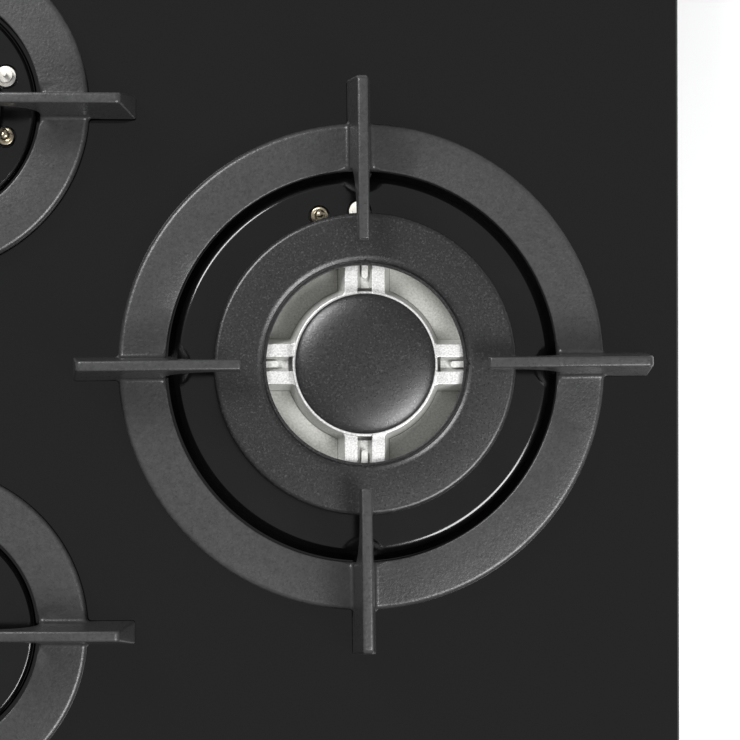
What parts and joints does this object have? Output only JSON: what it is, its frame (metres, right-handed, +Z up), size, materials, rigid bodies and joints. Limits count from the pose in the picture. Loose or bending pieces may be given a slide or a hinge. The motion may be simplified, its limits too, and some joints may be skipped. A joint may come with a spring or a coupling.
{
  "type": "gas cooktop",
  "caption": "Built-in gas hob with a black glass plate, a wide ring burner beside small burners, round four-finger cast pan supports and front control knobs.",
  "frame": {"origin": "middle of the whole part in plan, at the underside of the base box", "axes": "+X to the user's right, +Y to the rear, +Z up out of the glass"},
  "size_m": [0.45, 0.51, 0.101],
  "materials": {
    "black_glass": "polished",
    "silicone": "matte",
    "foam_seal": "matte",
    "galvanised_steel": "zinc coated",
    "screw_steel": "zinc coated",
    "rail_steel": "satin",
    "probe_steel": "satin",
    "cast_aluminium": "die cast",
    "crown_aluminium": "satin cast, machined edges",
    "tube_aluminium": "satin",
    "black_enamel": "satin vitreous enamel",
    "cast_iron": "satin black enamel, orange peel",
    "ceramic_white": "smooth",
    "brass": "turned",
    "copper": "drawn",
    "knob_plastic": "satin black",
    "module_plastic": "matte",
    "terminal_plastic": "matte",
    "lead_rubber": "matte",
    "seal_rubber": "matte"
  },
  "bodies": {
    "hob": {"glass_top": "black_glass", "glass_bond": "silicone", "rim_seal": "foam_seal", "base_box": "galvanised_steel", "burner_beam_left": "galvanised_steel", "burner_beam_right": "galvanised_steel", "worktop_clamps": "galvanised_steel", "clamp_screws": "screw_steel", "burner_screws": "screw_steel", "manifold": "rail_steel", "gas_inlet": "brass", "ignition_module": "module_plastic", "ignition_switches": "module_plastic", "terminal_block": "terminal_plastic", "ignition_wiring": "lead_rubber", "thermocouple_leads": "copper", "knob_seals": "seal_rubber", "wok_cup": "cast_aluminium", "wok_tray": "black_enamel", "wok_injector": "brass", "wok_electrode": "ceramic_white", "wok_thermocouple": "probe_steel", "wok_valve": "cast_aluminium", "wok_gas_tube": "tube_aluminium", "rear_cup": "cast_aluminium", "rear_tray": "black_enamel", "rear_injector": "brass", "rear_electrode": "ceramic_white", "rear_thermocouple": "probe_steel", "rear_valve": "cast_aluminium", "rear_gas_tube": "tube_aluminium", "front_cup": "cast_aluminium", "front_tray": "black_enamel", "front_injector": "brass", "front_electrode": "ceramic_white", "front_thermocouple": "probe_steel", "front_valve": "cast_aluminium", "front_gas_tube": "tube_aluminium"},
    "wok_pan_support": {"wok_trivet": "cast_iron", "wok_trivet_feet": "seal_rubber"},
    "rear_pan_support": {"rear_trivet": "cast_iron", "rear_trivet_feet": "seal_rubber"},
    "front_pan_support": {"front_trivet": "cast_iron", "front_trivet_feet": "seal_rubber"},
    "wok_flame_crown": {"wok_crown": "crown_aluminium"},
    "wok_ring_cap": {"wok_outer_cap": "black_enamel"},
    "wok_centre_cap": {"wok_inner_cap": "black_enamel"},
    "rear_flame_crown": {"rear_crown": "crown_aluminium"},
    "rear_burner_cap": {"rear_cap": "black_enamel"},
    "front_flame_crown": {"front_crown": "crown_aluminium"},
    "front_burner_cap": {"front_cap": "black_enamel"},
    "wok_tap_plug": {"wok_plug": "brass"},
    "wok_control": {"wok_knob": "knob_plastic", "wok_spindle": "rail_steel"},
    "rear_tap_plug": {"rear_plug": "brass"},
    "rear_control": {"rear_knob": "knob_plastic", "rear_spindle": "rail_steel"},
    "front_tap_plug": {"front_plug": "brass"},
    "front_control": {"front_knob": "knob_plastic", "front_spindle": "rail_steel"}
  },
  "joints": [
    {"name": "wok_pan_support_lift", "type": "slide", "parent": "hob", "child": "wok_pan_support", "axis": [0, 0, 1], "range_m": [0, 0.06]},
    {"name": "rear_pan_support_lift", "type": "slide", "parent": "hob", "child": "rear_pan_support", "axis": [0, 0, 1], "range_m": [0, 0.06]},
    {"name": "front_pan_support_lift", "type": "slide", "parent": "hob", "child": "front_pan_support", "axis": [0, 0, 1], "range_m": [0, 0.06]},
    {"name": "wok_crown_lift", "type": "slide", "parent": "hob", "child": "wok_flame_crown", "axis": [0, 0, 1], "range_m": [0, 0.005]},
    {"name": "wok_ring_cap_lift", "type": "slide", "parent": "wok_flame_crown", "child": "wok_ring_cap", "axis": [0, 0, 1], "range_m": [0, 0.005]},
    {"name": "wok_centre_cap_lift", "type": "slide", "parent": "wok_flame_crown", "child": "wok_centre_cap", "axis": [0, 0, 1], "range_m": [0, 0.05]},
    {"name": "rear_crown_lift", "type": "slide", "parent": "hob", "child": "rear_flame_crown", "axis": [0, 0, 1], "range_m": [0, 0.005]},
    {"name": "rear_cap_lift", "type": "slide", "parent": "rear_flame_crown", "child": "rear_burner_cap", "axis": [0, 0, 1], "range_m": [0, 0.005]},
    {"name": "front_crown_lift", "type": "slide", "parent": "hob", "child": "front_flame_crown", "axis": [0, 0, 1], "range_m": [0, 0.005]},
    {"name": "front_cap_lift", "type": "slide", "parent": "front_flame_crown", "child": "front_burner_cap", "axis": [0, 0, 1], "range_m": [0, 0.005]},
    {"name": "wok_knob_turn", "type": "hinge", "parent": "hob", "child": "wok_tap_plug", "pos_m": [0.072, -0.213, 0.083], "axis": [0, 0, 1], "range_deg": [0, 210]},
    {"name": "wok_knob_push", "type": "slide", "parent": "wok_tap_plug", "child": "wok_control", "axis": [0, 0, -1], "range_m": [0, 0.0035], "stiffness_N_per_m": 600, "springref_m": -0.002},
    {"name": "rear_knob_turn", "type": "hinge", "parent": "hob", "child": "rear_tap_plug", "pos_m": [0, -0.213, 0.083], "axis": [0, 0, 1], "range_deg": [0, 210]},
    {"name": "rear_knob_push", "type": "slide", "parent": "rear_tap_plug", "child": "rear_control", "axis": [0, 0, -1], "range_m": [0, 0.0035], "stiffness_N_per_m": 600, "springref_m": -0.002},
    {"name": "front_knob_turn", "type": "hinge", "parent": "hob", "child": "front_tap_plug", "pos_m": [-0.072, -0.213, 0.083], "axis": [0, 0, 1], "range_deg": [0, 210]},
    {"name": "front_knob_push", "type": "slide", "parent": "front_tap_plug", "child": "front_control", "axis": [0, 0, -1], "range_m": [0, 0.0035], "stiffness_N_per_m": 600, "springref_m": -0.002}
  ]
}
